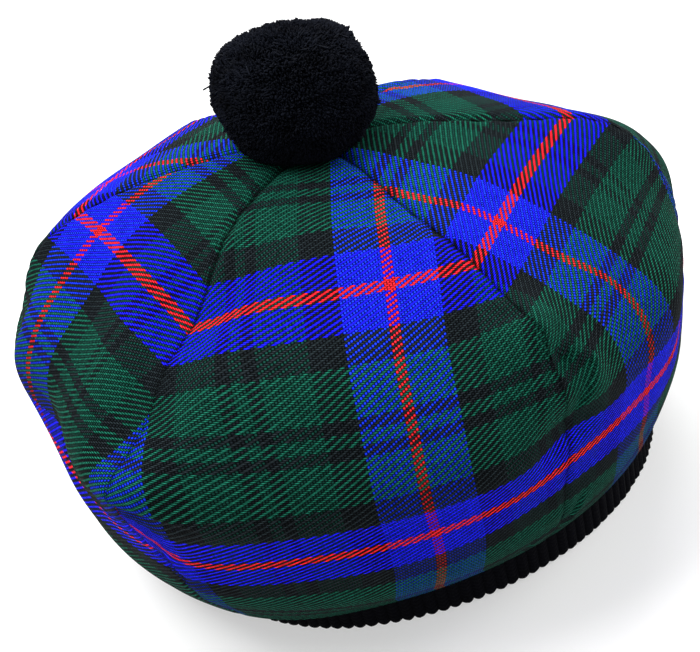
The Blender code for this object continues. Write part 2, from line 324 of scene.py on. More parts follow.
# The cut strands. They end unevenly, lean together in tufts, and a few stray past the rest. Their
# widths are shares of STRAND_RADIUS, and their flat sides are set square to one askew direction.
STRAND_COUNT = 18000
STRAND_SIDES = 3
STRAND_RADIUS = 0.35 * MM
STRAND_LENGTH = 3 * MM
STRAND_TAPER = 0.9
STRAND_POINT = 1.2
STRAND_JITTER = 0.012
STRAND_WIDTHS = (0.75, 1.25)
STRAND_ASKEW = (0.3, 0.5, 0.81)
STRAND_TRIM = (0.1 * MM, 1.1 * MM)
STRAY_SHARE = 0.03
STRAY_REACH = (0.2 * MM, 0.7 * MM)
STRAND_LEAN = 0.28
TUFT_SWEEP = 0.25
TUFT_RISE = 0.35 * MM
TUFTLET_RISE = 0.3 * MM
TUFT_WAVES = (30, 8.0)
TUFTLET_WAVES = (40, 24.0)
SWEEP_WAVES = (30, 13.0)
CORE_DEPTH = 2.2 * MM
CORE_ROWS = 24
CORE_COLUMNS = 48
CLEAR_OF_CLOTH = 0.4 * MM
APEX_REACH = 45 * MM

# The floor runs forward and back from the hat, then curves up behind it.
FLOOR_FORWARD = 6.0
FLOOR_BACK = 3.0
FLOOR_HALF_WIDTH = 8.0
FLOOR_TOP = 4.0
FLOOR_BEND = 1.5
FLOOR_BEND_STEPS = 12

# Soft square lights: a key from high on the left, a fill from the right and one from behind.
Lamp = namedtuple("Lamp", "name place size power")
LAMPS = [
    Lamp("key", (-0.6, -0.2, 1.6), 1.0, 34.0),
    Lamp("fill", (1.4, 0.1, 1.0), 1.0, 16.0),
    Lamp("back", (0.2, 1.1, 1.4), 1.2, 28.0),
]
LAMP_TARGET = (0.0, 0.0, 0.07)
SURROUND = 0.45

# The camera: how far it stands from its aim and in what direction, with its azimuth counted from
# the front, and the aim itself, measured from the middle of the band's lower edge.
CAMERA_DISTANCE = 735.6 * MM
CAMERA_AZIMUTH = 6.06
CAMERA_ELEVATION = 28.5
CAMERA_ROLL = -16.15
CAMERA_AIM = (-1.8 * MM, -2.4 * MM, 66.3 * MM)
CAMERA_LENS = 112.1
CAMERA_SENSOR = 36.0
CAMERA_SHIFT = (0.0086, -0.0242)


def crown_section():
    """Arc, radius and drop down the middle of a gore, before the crown leans and sags."""
    arcs = np.linspace(0.0, CROWN_ARC, SECTION_STEPS + 1)
    slopes = np.radians(np.interp(arcs, [row.arc for row in SLOPES], [row.degrees for row in SLOPES]))
    step = arcs[1] - arcs[0]
    outward = (np.cos(slopes[1:]) + np.cos(slopes[:-1])) / 2 * step
    downward = (np.sin(slopes[1:]) + np.sin(slopes[:-1])) / 2 * step
    radii = np.concatenate([[0.0], np.cumsum(outward)])
    drops = np.concatenate([[0.0], np.cumsum(downward)])
    return arcs, slopes, radii, drops


ARCS, ARC_SLOPES, ARC_RADII, ARC_DROPS = crown_section()
CROWN_HEIGHT = ARC_DROPS[-1]


def wrapped(azimuth):
    """The same azimuth between -180 and 180."""
    return (azimuth + 180) % 360 - 180


def from_gore_middle(azimuth):
    """Degrees from the middle of the gore that an azimuth falls in."""
    return (azimuth - FRONT + GORE_HALF_ANGLE) % GORE_ANGLE - GORE_HALF_ANGLE


def puff_rise(azimuth, arc, radius):
    """Height of all puffs and dents at a place, outwards from the cloth."""
    rise = np.zeros(np.broadcast(azimuth, arc).shape)
    for puff in PUFFS:
        across = np.radians(wrapped(azimuth - puff.azimuth)) * radius / puff.across
        along = (arc - puff.arc) / puff.along
        rise = rise + puff.rise * np.exp(-across**2 - along**2)
    return rise


def seam_valley(to_seam, arc):
    """Depth of the seam's valley, less beyond the crease and at the hem."""
    valley = -SEAM_DEPTH * np.exp(-(to_seam / SEAM_HALF_WIDTH) ** 2)
    beyond = 1 + np.exp((arc - CREASE_ARC) / CREASE_FADE)
    valley = valley * (SEAM_LOW_SHARE + (1 - SEAM_LOW_SHARE) / beyond)
    return valley * np.clip((CROWN_ARC - arc) / SEAM_HEM_FADE, SEAM_HEM_SHARE, 1)


def seam_puckers(to_seam, side, seam_number, arc):
    """Puckers across a seam, out of step from side to side and from seam to seam."""
    phase = arc / PUCKER_LENGTH * 2 * math.pi + seam_number * PUCKER_BY_SEAM + side * PUCKER_BY_SIDE
    phase = phase + PUCKER_WANDER * np.sin(arc / PUCKER_DRIFT + seam_number)
    fade = np.exp(-to_seam / PUCKER_REACH) * np.clip(arc / PUCKER_APEX_FADE, 0, 1)
    return PUCKER * np.sin(phase) * fade


def wool_waves(turn, arc):
    """Slow waves of the loose wool: 3, 5 and 11 of them round the crown."""
    waves = np.sin(5 * turn + arc / WAVE_LONG) * np.sin(arc / WAVE_MIDDLE + 2 * np.sin(3 * turn))
    return WAVE * (waves + WAVE_SHORT_SHARE * np.sin(11 * turn - arc / WAVE_SHORT))


def sewn_relief(azimuth, arc, radius):
    """Seam valleys with their puckers, and the waves of the wool, outwards from the cloth."""
    gore_turn = from_gore_middle(azimuth)
    to_seam = radius * np.radians(GORE_HALF_ANGLE - np.abs(gore_turn))
    seam_number = np.round((azimuth - FRONT + GORE_HALF_ANGLE) / GORE_ANGLE)
    fine = seam_puckers(to_seam, np.sign(gore_turn), seam_number, arc)
    fine = fine + wool_waves(np.radians(azimuth), arc)
    edge_fade = np.clip((CROWN_ARC - arc) / RELIEF_HEM_FADE, 0, 1) * np.clip(arc / RELIEF_APEX_FADE, 0, 1)
    return seam_valley(to_seam, arc) + fine * edge_fade


def fold_rise(azimuth, arc, radius):
    """Height of the lips along all folds, outwards from the cloth."""
    rise = np.zeros(np.broadcast(azimuth, arc).shape)
    for fold in FOLDS:
        across = np.radians(wrapped(azimuth - fold.azimuth)) * radius
        down = arc - fold.arc
        turn = math.radians(fold.turn)
        along = across * math.cos(turn) + down * math.sin(turn)
        beyond = down * math.cos(turn) - across * math.sin(turn)
        lip = -np.tanh(beyond / FOLD_EDGE) * np.exp(-np.abs(beyond) / fold.width)
        rise = rise + fold.rise * lip * np.exp(-(along / fold.length) ** 2)
    return rise


def thread_pull(number, azimuth, arc, radius):
    """How far the threads of one gore are pulled sideways and down at each place."""
    sideways = np.zeros(azimuth.shape)
    down = np.zeros(azimuth.shape)
    for pull in PULLS:
        if pull.gore != number:
            continue
        across = np.radians(wrapped(azimuth - pull.azimuth)) * radius / pull.across
        along = (arc - pull.arc) / pull.along
        weight = np.exp(-across**2 - along**2)
        sideways = sideways + pull.sideways * weight
        down = down + pull.down * weight
    return sideways, down


def crown_points(azimuth, arc, relief=True):
    """Places on the outside of the crown, with the band's top edge at height BAND_SHOWS."""
    azimuth = np.asarray(azimuth, float)
    arc = np.asarray(arc, float)
    radius = np.interp(arc, ARCS, ARC_RADII)
    height = CROWN_HEIGHT - np.interp(arc, ARCS, ARC_DROPS)
    slope = np.interp(arc, ARCS, ARC_SLOPES)
    flatness = 1 / (1 + np.exp((arc - ROUND_ARC) / ROUND_SPREAD))

    # Straight across each gore near the apex, round near the band, standing out at the seams.
    # The fullness grows over the lower half of the crown, and the tilt over two thirds of it.
    gore_turn = np.radians(from_gore_middle(azimuth))
    level = height / CROWN_HEIGHT
    fullness = np.clip(2 * level, 0, 1) * np.clip(radius / RIM_RADIUS, 0, 1)
    by_seam = (1 - np.cos(GORE_COUNT * np.radians(azimuth - FRONT))) / 2
    reach = radius * (1 + flatness * (1 / np.cos(gore_turn) - 1))
    reach = reach + (1 - flatness) * fullness * SEAM_STAND * by_seam

    turns = np.interp(wrapped(azimuth), [seam.azimuth for seam in SEAMS], [seam.turn for seam in SEAMS])
    turned = np.radians(azimuth + turns)
    oval = 1 + fullness * OVAL * np.cos(2 * (turned - np.radians(OVAL_AZIMUTH))) / RIM_RADIUS
    rise = puff_rise(azimuth, arc, radius)
    if relief:
        rise = rise + sewn_relief(azimuth, arc, radius) + fold_rise(azimuth, arc, radius)
    outward = reach * oval + rise * np.sin(slope)
    x = outward * np.cos(turned)
    y = outward * np.sin(turned)
    z = height + fullness * SADDLE * np.cos(2 * turned) + rise * np.cos(slope)
    z = z + np.clip(1.5 * level, 0, 1) * math.tan(math.radians(TILT_X)) * x

    slack = np.clip((arc - HEM_LIFT_ARC) / (CROWN_ARC - HEM_LIFT_ARC), 0, 1)
    z = z + HEM_LIFT * slack**2 * np.cos(turned - math.radians(HEM_LIFT_AZIMUTH))
    z = z - HANG * slack**2 * np.exp(-(wrapped(azimuth + turns - HANG_AZIMUTH) / HANG_SPREAD) ** 2)

    # The whole crown leans further off the band the higher it is.
    lean = level * (3 - level) / 2
    return np.stack([x + LEAN_X * lean, y + LEAN_Y * lean, z + BAND_SHOWS], axis=-1)


def centred_offset():
    """The shift that puts the middle of the crown's outline over the origin."""
    azimuth, arc = np.meshgrid(np.arange(-180.0, 180.0, 2.0), np.linspace(0, CROWN_ARC, 60))
    points = crown_points(azimuth, arc, relief=False).reshape(-1, 3)
    middle = (points.min(axis=0) + points.max(axis=0)) / 2
    return np.array([-middle[0], -middle[1], 0.0])


PLACE = centred_offset()


def grid_normals(points):
    """Outward directions of a grid of places whose rows run down and columns run round."""
    down = np.gradient(points, axis=0)
    across = np.gradient(points, axis=1)
    normals = np.cross(down, across)
    return normals / np.maximum(np.linalg.norm(normals, axis=-1, keepdims=True), 1e-12)


def new_mesh(name, points, faces, finish):
    """A smooth-shaded object from its points and faces, in the frame's own place."""
    mesh = bpy.data.meshes.new(name)
    mesh.from_pydata([tuple(point) for point in points], [], faces)
    mesh.materials.append(finish)
    mesh.shade_smooth()
    piece = bpy.data.objects.new(name, mesh)
    bpy.context.scene.collection.objects.link(piece)
    return piece


def corner_values(piece, u, v):
    """Two values at each corner of each face, from their values at each point."""
    corners = np.empty(len(piece.data.loops), np.int32)
    piece.data.loops.foreach_get("vertex_index", corners)
    return np.stack([u.ravel()[corners], v.ravel()[corners]], axis=1)


def add_coordinates(piece, name, values):
    """A named layer of cloth coordinates, from the values at each corner."""
    layer = piece.data.uv_layers.new(name=name)
    layer.data.foreach_set("uv", values.ravel().astype(np.float32))


def gore_strip(outer, base):
    """The outer face, the rolled hem and the inner face of a gore, as one strip of rows."""
    inner = base - CLOTH * INNER_SINK * grid_normals(base)
    inner[-1] = outer[-1] - CLOTH * grid_normals(outer)[-1]

    # The rolled hem joins the two faces in a half circle.
    down = outer[-1] - outer[-2]
    down = down / np.linalg.norm(down, axis=-1, keepdims=True)
    centre = (outer[-1] + inner[-1]) / 2
    half = (outer[-1] - inner[-1]) / 2
    hem = []
    for step in range(1, HEM_ROWS):
        turn = math.pi * step / HEM_ROWS
        hem.append(centre + half * math.cos(turn) + down * math.sin(turn) * CLOTH / 2)
    return np.concatenate([outer, np.array(hem), inner[::-1]])


def strip_quads(upper, lower):
    """Faces between two rows of points."""
    return np.stack([upper[:-1], lower[:-1], lower[1:], upper[1:]], axis=1).tolist()


def gore_faces(count, columns):
    """Faces of a gore's strip, with its edge at the apex and its two sides closed."""
    index = np.arange(count * columns).reshape(count, columns)
    faces = []
    for row in range(count - 1):
        faces.extend(strip_quads(index[row], index[row + 1]))
    faces.extend(strip_quads(index[-1], index[0]))
    # The two sides, row by row from outside to inside, and the ends of the hem.
    for column, turned in ((0, False), (columns - 1, True)):
        outside = index[:GORE_ROWS, column]
        inside = index[-1:-GORE_ROWS - 1:-1, column]
        for row in range(GORE_ROWS - 1):
            quad = [outside[row], inside[row], inside[row + 1], outside[row + 1]]
            faces.append([int(corner) for corner in (reversed(quad) if turned else quad)])
        end = [int(corner) for corner in index[GORE_ROWS - 1:count - GORE_ROWS + 1, column]]
        faces.append(end if turned else end[::-1])
    return faces


def both_faces(values, hem=None):
    """Values of the outer face carried over the hem to the inner face."""
    if hem is None:
        hem = np.repeat(values[-1:], HEM_ROWS - 1, axis=0)
    return np.concatenate([values, hem, values[::-1]])


def gore(number, finish):
    """One panel of tartan: outer face, rolled hem and inner face, closed at the sides."""
    middle = FRONT + GORE_ANGLE * (number - 1)
    arcs = APEX_OPENING + (CROWN_ARC - APEX_OPENING) * np.linspace(0, 1, GORE_ROWS)
    radii = np.interp(arcs, ARCS, ARC_RADII)
    half_angles = GORE_HALF_ANGLE - np.degrees(GORE_GAP / 2 / radii)
    even = np.linspace(-1, 1, GORE_COLUMNS + 1)
    across = np.sin(even * math.pi / 2) * SEAM_CROWDING + even * (1 - SEAM_CROWDING)
    azimuth = middle + half_angles[:, None] * across[None, :]
    arc = np.repeat(arcs[:, None], GORE_COLUMNS + 1, axis=1)
    outer = crown_points(azimuth, arc) + PLACE
    base = crown_points(azimuth, arc, relief=False) + PLACE
    rows = gore_strip(outer, base)
    count, columns = rows.shape[:2]
    piece = new_mesh("tartan_gore_%d" % number, rows.reshape(-1, 3), gore_faces(count, columns), finish)

    # Cloth coordinates: across from the middle of the gore, and down from the apex, in setts.
    steps = np.linalg.norm(np.diff(base, axis=1), axis=-1)
    along = np.concatenate([np.zeros((GORE_ROWS, 1)), np.cumsum(steps, axis=1)], axis=1)
    along = along - along[:, GORE_COLUMNS // 2][:, None]
    offset = STRIPE_OFFSET if number % 2 else -STRIPE_OFFSET
    sideways, pulled_down = thread_pull(number, azimuth, arc, radii[:, None])
    u = (along - offset - sideways) / SETT
    v = (arc - STRIPE_ARC - pulled_down) / SETT
    hem_v = v[-1:] + np.linspace(0, CLOTH * HEM_ROLL / SETT, HEM_ROWS + 1)[1:-1, None]
    add_coordinates(piece, "cloth", corner_values(piece, both_faces(u), both_faces(v, hem_v)))

    # Distance in millimetres from the nearer seam, and from the hem.
    to_seam = both_faces(np.minimum(along - along[:, :1], along[:, -1:] - along))
    to_hem = both_faces(CROWN_ARC - arc, np.zeros((HEM_ROWS - 1, columns)))
    add_coordinates(piece, "edges", corner_values(piece, to_seam / MM, to_hem / MM))
    piece.data.set_sharp_from_angle(angle=math.radians(60))
    return piece, along, arcs


class Shader:
    """A material's node tree, built one value at a time."""

    def __init__(self, name):
        self.material = bpy.data.materials.new(name)
        self.material.use_nodes = True
        self.nodes = self.material.node_tree.nodes
        self.links = self.material.node_tree.links
        self.surface = self.nodes["Principled BSDF"]

    def put(self, socket, value):
        if isinstance(value, bpy.types.NodeSocket):
            self.links.new(value, socket)
        else:
            socket.default_value = value

    def node(self, kind, values=(), **settings):
        made = self.nodes.new("ShaderNode" + kind)
        for name, value in settings.items():
            setattr(made, name, value)
        for name, value in dict(values).items():
            self.put(made.inputs[name], value)
        return made

    def math(self, operation, first, second=0.0, third=0.0):
        made = self.node("Math", operation=operation)
        for socket, value in zip(made.inputs, (first, second, third)):
            self.put(socket, value)
        return made.outputs[0]

    def mix(self, amount, first, second, blend="MIX"):
        made = self.node("Mix", data_type="RGBA", blend_type=blend)
        self.put(made.inputs[0], amount)
        self.put(made.inputs[6], first)
        self.put(made.inputs[7], second)
        return made.outputs[2]

    def noise(self, scale, detail=2.0, vector=None, roughness=0.5):
        values = {"Scale": scale, "Detail": detail, "Roughness": roughness}
        if vector is not None:
            values["Vector"] = vector
        return self.node("TexNoise", values).outputs[0]

    def between(self, value, low, high, at_low, at_high):
        """A value that runs from one level to another while another value goes from low to high."""
        levels = {"From Min": low, "From Max": high, "To Min": at_low, "To Max": at_high}
        return self.node("MapRange", {"Value": value, **levels}).outputs[0]

    def shaded(self, colour, tone):
        """A colour made darker or lighter by a tone."""
        grey = self.node("CombineColor", {"Red": tone, "Green": tone, "Blue": tone}).outputs[0]
        return self.mix(1.0, colour, grey, "MULTIPLY")

    def finish(self, colour, height, distance, roughness, specular):
        """A dull surface with its colour, its relief of a given depth, roughness and shine."""
        self.put(self.surface.inputs["Base Color"], colour)
        if height is not None:
            made = self.node("Bump", {"Height": height, "Distance": distance})
            self.put(self.surface.inputs["Normal"], made.outputs[0])
        self.surface.inputs["Roughness"].default_value = roughness
        self.surface.inputs["Specular IOR Level"].default_value = specular
        return self.material


def sett_colour(shader, thread, counts, colours):
    """The stripe that a thread number falls in: a mirrored sett with hard edges."""
    half = sum(counts)
    place = shader.math("PINGPONG", shader.math("ADD", thread, 0.5), half)
    ramp = shader.node("ValToRGB")
    ramp.color_ramp.interpolation = "CONSTANT"
    elements = ramp.color_ramp.elements
    elements.remove(elements[1])
    start = 0
    for number, (count, colour) in enumerate(zip(counts, colours)):
        element = elements[0] if number == 0 else elements.new(start / half)
        element.position = start / half
        element.color = (*colour, 1.0)
        start += count
    shader.put(ramp.inputs[0], shader.math("DIVIDE", place, half))
    return ramp.outputs[0]


def roundness(shader, place, half_width):
    """Height of a round thread across its own width, from 0 at its sides to 1."""
    offset = shader.math("SUBTRACT", shader.math("FRACT", place), 0.5)
    share = shader.math("DIVIDE", offset, half_width)
    square = shader.math("MULTIPLY", share, share)
    return shader.math("SQRT", shader.math("MAXIMUM", shader.math("SUBTRACT", 1.0, square), 0.0))


def float_height(shader, step, sign, bias):
    """Height of a thread along its float, which covers about two of each four steps."""
    turn = shader.math("MULTIPLY", step, math.pi / 2)
    rise = shader.math("MULTIPLY_ADD", shader.math("SINE", turn), sign, bias)
    return shader.math("DIVIDE", shader.math("MAXIMUM", rise, 0.0), 1 + bias)


def woven_threads(shader, to_hem):
    """Height and colour of the threads on top, and the numbers of the two that cross."""
    uv = shader.node("UVMap", uv_map="cloth").outputs[0]
    split = shader.node("SeparateXYZ", {"Vector": uv})
    warp_place = shader.math("MULTIPLY", split.outputs[0], WARP_THREADS)
    weft_place = shader.math("MULTIPLY", split.outputs[1], WEFT_THREADS)
    warp_thread = shader.math("FLOOR", warp_place)
    weft_thread = shader.math("FLOOR", weft_place)
    warp_counts = [stripe.warps for stripe in STRIPES]
    weft_counts = [stripe.wefts for stripe in STRIPES]
    warp_colours = [stripe.warp_colour for stripe in STRIPES]
    weft_colours = [stripe.weft_colour for stripe in STRIPES]
    warp_colour = sett_colour(shader, warp_thread, warp_counts, warp_colours)
    weft_colour = sett_colour(shader, weft_thread, weft_counts, weft_colours)

    # The warp is on top for two threads in four, one step further along on each weft thread.
    # Both show as rows of short beads; their heights also set the painted shade between them,
    # where the threads dive.
    warp_rise = float_height(shader, shader.math("ADD", warp_thread, weft_place), 1.0, 0.0)
    weft_rise = float_height(shader, shader.math("ADD", warp_place, weft_thread), -1.0, WEFT_BIAS)
    # Round the rim the wefts close up over the warp.
    low_end = (WARP_LOW_FROM_HEM, WARP_FULL_FROM_HEM)
    stand = shader.between(to_hem, *low_end, WARP_STAND_LOW, WARP_STAND)
    warp_rise = shader.math("MULTIPLY", warp_rise, stand)
    warp_round = roundness(shader, warp_place, WARP_HALF_WIDTH)
    weft_round = roundness(shader, weft_place, WEFT_HALF_WIDTH)
    warp_height = shader.math("MULTIPLY", warp_rise, warp_round)
    weft_height = shader.math("MULTIPLY", weft_rise, weft_round)
    warp_shows = shader.math("GREATER_THAN", warp_height, weft_height)
    height = shader.math("MAXIMUM", warp_height, weft_height)
    return height, shader.mix(warp_shows, weft_colour, warp_colour), warp_thread, weft_thread


def thread_tone(shader, place, fleck, warp_thread, weft_thread):
    """Uneven yarn: each thread and bead a little lighter or darker, flecked and clouded."""
    cloud = shader.noise(CLOUD_SCALE, 3.0, place)
    warp_tone = shader.node("TexWhiteNoise", {"W": warp_thread}, noise_dimensions="1D").outputs[0]
    weft_tone = shader.node("TexWhiteNoise", {"W": weft_thread}, noise_dimensions="1D").outputs[0]
    cell = shader.node("CombineXYZ", {"X": warp_thread, "Y": weft_thread}).outputs[0]
    bead_tone = shader.node("TexWhiteNoise", {"Vector": cell}, noise_dimensions="2D").outputs[0]
    both = shader.math("ADD", warp_tone, weft_tone)
    tone = shader.math("MULTIPLY_ADD", both, TONE_THREAD, TONE_START)
    for part, share in ((fleck, TONE_FLECK), (cloud, TONE_CLOUD), (bead_tone, TONE_BEAD)):
        tone = shader.math("ADD", tone, shader.math("MULTIPLY", part, share))
    return tone


def painted_crease_shade(shader, to_seam, to_hem):
    """Painted shade in the crease along a seam: dark near the apex and fainter below."""
    fade_from = (CROWN_ARC - CREASE_ARC) / MM
    fade = (fade_from - CREASE_FADE_BELOW, fade_from + CREASE_FADE_ABOVE)
    darkest = shader.between(to_hem, *fade, CREASE_FAINT, CREASE_DARK)
    return shader.between(to_seam, CREASE_EDGE, CREASE_WIDTH, darkest, 1.0)


def tartan_finish():
    """Twill-woven wool: two-over, two-under threads in both directions, coloured by the sett."""
    shader = Shader("tartan_wool")
    place = shader.node("TexCoord").outputs["Object"]
    edges = shader.node("UVMap", uv_map="edges").outputs[0]
    to_seam, to_hem = shader.node("SeparateXYZ", {"Vector": edges}).outputs[:2]
    height, colour, warp_thread, weft_thread = woven_threads(shader, to_hem)
    fleck = shader.noise(FLECK_SCALE, 2.0, place)
    tone = thread_tone(shader, place, fleck, warp_thread, weft_thread)
    # Painted shade: dark in the gaps where the threads dive, lightest on the tops of the beads.
    rounded = shader.math("POWER", height, PAINTED_SHADE_POWER)
    tone = shader.math("MULTIPLY", tone, shader.math("MULTIPLY_ADD", rounded, PAINTED_SHADE_GAIN, PAINTED_GAP_SHADE))
    # Painted shade in the crease along each seam.
    tone = shader.math("MULTIPLY", tone, painted_crease_shade(shader, to_seam, to_hem))
    relief = shader.math("ADD", height, shader.math("MULTIPLY", fleck, FLECK_RELIEF))
    colour = shader.shaded(colour, tone)
    return shader.finish(colour, relief, WEAVE_RELIEF, roughness=0.92, specular=0.03)


def knit_finish():
    """Near-black rib-knitted wool: small stitches down each rib, with loose fibres."""
    shader = Shader("band_wool")
    uv = shader.node("UVMap", uv_map="knit").outputs[0]
    split = shader.node("SeparateXYZ", {"Vector": uv})
    # Stitches lean both ways from the middle of a rib, like small arrows.
    side = shader.math("SUBTRACT", shader.math("FRACT", split.outputs[0]), 0.5)
    lean = shader.math("MULTIPLY", shader.math("ABSOLUTE", side), STITCH_LEAN)
    stitch = shader.math("ADD", split.outputs[1], lean)
    wave = shader.math("SINE", shader.math("MULTIPLY", stitch, 2 * math.pi))
    fibre = shader.noise(KNIT_FIBRE_SCALE, 3.0, shader.node("TexCoord").outputs["Object"])
    relief = shader.math("ADD", shader.math("MULTIPLY", wave, STITCH_RELIEF), fibre)
    stitch_tone = shader.math("MULTIPLY_ADD", wave, STITCH_TONE, KNIT_TONE)
    fibre_tone = shader.math("MULTIPLY_ADD", fibre, KNIT_FIBRE_GAIN, KNIT_FIBRE_START)
    tone = shader.math("MULTIPLY", stitch_tone, fibre_tone)
    colour = shader.shaded((*KNIT_COLOUR, 1.0), tone)
    return shader.finish(colour, relief, KNIT_RELIEF, roughness=0.9, specular=0.04)


def yarn_finish():
    """Cut black wool: near-black, with a painted highlight, a cold grey glint, on scattered fibre ends.
    """
    shader = Shader("pompom_wool")
    place = shader.node("TexCoord").outputs["Object"]
    fibre = shader.noise(YARN_FIBRE_SCALE, 3.0, place)
    patch = shader.noise(YARN_PATCH_SCALE, 3.0, place)
    tone = shader.math("ADD", fibre, shader.math("MULTIPLY", patch, YARN_PATCH))
    ramp = shader.node("ValToRGB", {"Fac": tone})
    dark, glint = ramp.color_ramp.elements
    dark.position = YARN_DARK_UP_TO
    dark.color = (*YARN_DARK, 1.0)
    # The painted highlight on the fibre ends.
    glint.color = (*YARN_PAINTED_GLINT, 1.0)
    return shader.finish(ramp.outputs[0], None, 0.0, roughness=0.85, specular=0.05)


def band_press(azimuth):
    """How far the band is pressed in at an azimuth."""
    return PRESS * np.exp(-(wrapped(azimuth - PRESS_AZIMUTH) / PRESS_SPREAD) ** 2)


def band_row(outside, share, turn, lobe, uneven):
    """One row of the band's points, at a share of its height on its outer or inner face."""
    height = share * (BAND_SHOWS + BAND_TUCK)
    middle_low = BAND_RADIUS - BAND_WALL / 2
    middle_high = BAND_TOP_RADIUS - BAND_WALL / 2
    middle = middle_low + (middle_high - middle_low) * share
    close = math.sqrt(max(0.0, 1 - (1 - min(1.0, height / BAND_EDGE)) ** 2))
    reach = BAND_WALL / 2 * (BAND_EDGE_SHARE + (1 - BAND_EDGE_SHARE) * close)
    reach = reach - (RIB_OUTER if outside else RIB_INNER) * (1 - lobe)
    radius = middle - band_press(np.degrees(turn)) + (reach + uneven if outside else -reach)
    lift = (1 - lobe) * BAND_SCALLOP * (1 - share) ** 4
    return np.stack([radius * np.cos(turn), radius * np.sin(turn), height + lift], axis=-1)


def rib_band(finish):
    """The knitted band: rounded ribs outside and in, and a rounded lower edge."""
    columns = np.arange(RIB_COUNT * RIB_COLUMNS)
    turn = columns * 2 * math.pi / len(columns)
    lobe = np.abs(np.cos(columns / RIB_COLUMNS * math.pi)) ** RIB_ROUNDNESS
    rng = np.random.default_rng(11)
    uneven = np.repeat(rng.uniform(-RIB_UNEVEN, RIB_UNEVEN, RIB_COUNT), RIB_COLUMNS)
    # The section runs up the outside from the lower edge, over the top and down the inside.
    up = np.linspace(0, 1, BAND_ROWS)
    section = [(True, share) for share in up] + [(False, share) for share in up[::-1]]
    rows = [band_row(outside, share, turn, lobe, uneven) for outside, share in section]
    index = np.arange(len(section) * len(columns)).reshape(len(section), len(columns))
    faces = []
    for below, above in zip(index, np.roll(index, -1, axis=0)):
        quads = np.stack([below, np.roll(below, -1), np.roll(above, -1), above], axis=1)
        faces.extend(quads.tolist())
    piece = new_mesh("knitted_band", (np.array(rows) + PLACE).reshape(-1, 3), faces, finish)

    # Knitting coordinates: ribs round the band, and stitches up and down it.
    ribs = np.tile(columns / RIB_COLUMNS, (len(section), 1))
    heights = [(share if outside else -share) * (BAND_SHOWS + BAND_TUCK) for outside, share in section]
    stitches = np.repeat(np.array(heights)[:, None] / STITCH, len(columns), axis=1)
    values = corner_values(piece, ribs, stitches)
    # The last column of faces closes the ring, so its far corners count on past the last rib.
    around = values[:, 0].reshape(-1, 4)
    spread = around.max(axis=1) - around.min(axis=1)
    wraps = (spread > RIB_COUNT / 2)[:, None] & (around < RIB_COUNT / 2)
    values[:, 0] = (around + wraps * RIB_COUNT).ravel()
    add_coordinates(piece, "knit", values)
    return piece


def ball_directions(count):
    """Evenly spread directions round a ball."""
    number = np.arange(count) + 0.5
    polar = np.arccos(1 - 2 * number / count)
    turn = math.pi * (1 + math.sqrt(5)) * number
    return np.stack([np.cos(turn) * np.sin(polar), np.sin(turn) * np.sin(polar), np.cos(polar)], axis=-1)


def pompom_middle():
    """The middle of the yarn ball, over the dimple at the apex."""
    apex = crown_points(FRONT, 0.0, relief=False) + PLACE
    return apex + np.array([POMPOM_SHIFT_X, 0.0, POMPOM_RISE])


def crown_top(places):
    """Height of the crown's cloth near the apex above the given places."""
    azimuth, arc = np.meshgrid(np.arange(-180.0, 180.0, 6.0), np.linspace(0, APEX_REACH, 46))
    points = crown_points(azimuth, arc).reshape(-1, 3) + PLACE
    nearest = np.empty(len(places))
    batch = 2000
    for start in range(0, len(places), batch):
        part = places[start:start + batch]
        apart = ((part[:, None, :] - points[None, :, :2]) ** 2).sum(axis=-1)
        nearest[start:start + batch] = points[apart.argmin(axis=1), 2]
    return nearest


def lump_rise(directions):
    """How far the yarn ball stands out of round in each direction."""
    rise = np.zeros(len(directions))
    for lump in LUMPS:
        turn = math.radians(lump.azimuth)
        lift = math.radians(lump.elevation)
        centre = [math.cos(lift) * math.cos(turn), math.cos(lift) * math.sin(turn), math.sin(lift)]
        apart = np.degrees(np.arccos(np.clip(directions @ np.array(centre), -1, 1)))
        rise = rise + lump.rise * np.exp(-(apart / lump.spread) ** 2)
    return rise


def waves(directions, rng, count, pitch):
    """Smooth random bumps over the ball, between about -1 and 1."""
    total = np.zeros(len(directions))
    for _ in range(count):
        total += np.sin(directions @ rng.normal(0, pitch, 3) + rng.uniform(0, 2 * math.pi))
    return total / np.sqrt(count)


def strands(rng, middle, radii):
    """Tips, inward directions and widths of the cut strands, thickly set all over the ball."""
    directions = ball_directions(STRAND_COUNT)
    directions += rng.normal(0, STRAND_JITTER, directions.shape)
    directions /= np.linalg.norm(directions, axis=1, keepdims=True)
    tufts = TUFT_RISE * waves(directions, rng, *TUFT_WAVES)
    tufts = tufts + TUFTLET_RISE * waves(directions, rng, *TUFTLET_WAVES)
    reach = lump_rise(directions) + tufts - rng.uniform(*STRAND_TRIM, STRAND_COUNT)
    stray = rng.random(STRAND_COUNT) < STRAY_SHARE
    reach = reach + stray * rng.uniform(*STRAY_REACH, STRAND_COUNT)
    tips = middle + directions * (radii + reach[:, None])
    sweep = np.stack([waves(directions, rng, *SWEEP_WAVES) for _ in range(3)], axis=1)
    lean = TUFT_SWEEP * sweep + rng.normal(0, STRAND_LEAN, (STRAND_COUNT, 3))
    inward = -(directions + lean)
    inward /= np.linalg.norm(inward, axis=1, keepdims=True)
    width = STRAND_RADIUS * rng.uniform(*STRAND_WIDTHS, STRAND_COUNT)
    return tips, inward, width


